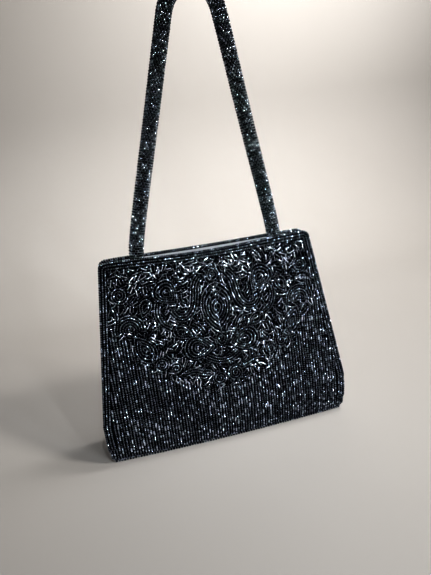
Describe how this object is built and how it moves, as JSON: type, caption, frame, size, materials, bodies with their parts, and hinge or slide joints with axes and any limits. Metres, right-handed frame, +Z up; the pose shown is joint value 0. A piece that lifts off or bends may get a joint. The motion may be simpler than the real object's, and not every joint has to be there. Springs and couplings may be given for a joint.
{
  "type": "evening bag",
  "caption": "Trapezoid evening bag covered in glass beads, with a recessed zip across the mouth and one arched beaded tube handle.",
  "frame": {"origin": "middle of the flat base that the bag stands on", "axes": "+Z up towards the handle, front wall towards -Y, +X to the right seen from the front"},
  "size_m": [0.2072, 0.047, 0.3469],
  "materials": {
    "beads": "glossy opaque seed beads",
    "ground_fabric": "dark cotton",
    "stiffener": "buckram and card",
    "facing": "satin",
    "lining": "satin",
    "gusset": "satin",
    "zip_tape": "woven tape",
    "zip_coil": "nylon coil",
    "zip_metal": "dark nickel",
    "rope": "twisted cotton"
  },
  "bodies": {
    "bag": {"base_beadwork": "beads", "base_ground": "ground_fabric", "base_board": "stiffener", "base_lining": "lining", "back_beadwork": "beads", "back_ground": "ground_fabric", "back_stiffener": "stiffener", "back_lining": "lining", "back_facing": "facing", "back_rim_beads": "beads", "inner_pocket": "lining", "pocket_binding": "lining", "gusset_left": "gusset", "gusset_right": "gusset", "gusset_lining_left": "lining", "gusset_lining_right": "lining", "zip_tape_back": "zip_tape", "zip_coil_back": "zip_coil", "zip_top_stop_back": "zip_metal", "zip_bottom_stop": "zip_metal"},
    "front_wall": {"front_beadwork": "beads", "front_ground": "ground_fabric", "front_stiffener": "stiffener", "front_lining": "lining", "front_facing": "facing", "front_rim_beads": "beads", "zip_tape_front": "zip_tape", "zip_coil_front": "zip_coil", "zip_top_stop_front": "zip_metal", "handle_foot_left": "beads", "handle_foot_right": "beads"},
    "zip_slider": {"zip_slider": "zip_metal", "zip_slider_bail": "zip_metal"},
    "zip_pull": {"zip_pull": "zip_metal"},
    "handle": {"handle_core": "rope", "handle_sleeve": "beads", "handle_end_left": "beads", "handle_end_right": "beads"}
  },
  "joints": [
    {"name": "mouth_open", "type": "hinge", "parent": "bag", "child": "front_wall", "pos_m": [0, -0.0228, 0.0143], "axis": [1, 0, 0], "range_deg": [0, 6], "deforming": ["gusset_left", "gusset_right", "gusset_lining_left", "gusset_lining_right"]},
    {"name": "zip_slide", "type": "slide", "parent": "bag", "child": "zip_slider", "axis": [-1, 0, 0], "range_m": [0, 0.1325]},
    {"name": "pull_flip", "type": "hinge", "parent": "zip_slider", "child": "zip_pull", "pos_m": [0.0705, 0, 0.15425], "axis": [0, 1, 0], "range_deg": [0, 110]},
    {"name": "handle_fold", "type": "hinge", "parent": "front_wall", "child": "handle", "pos_m": [0, -0.0006, 0.1698], "axis": [1, 0, 0], "range_deg": [-90, 90]}
  ],
  "couplings": [
    {"joint": "zip_slide", "follows": "mouth_open", "m_per_rad": 1.265}
  ]
}
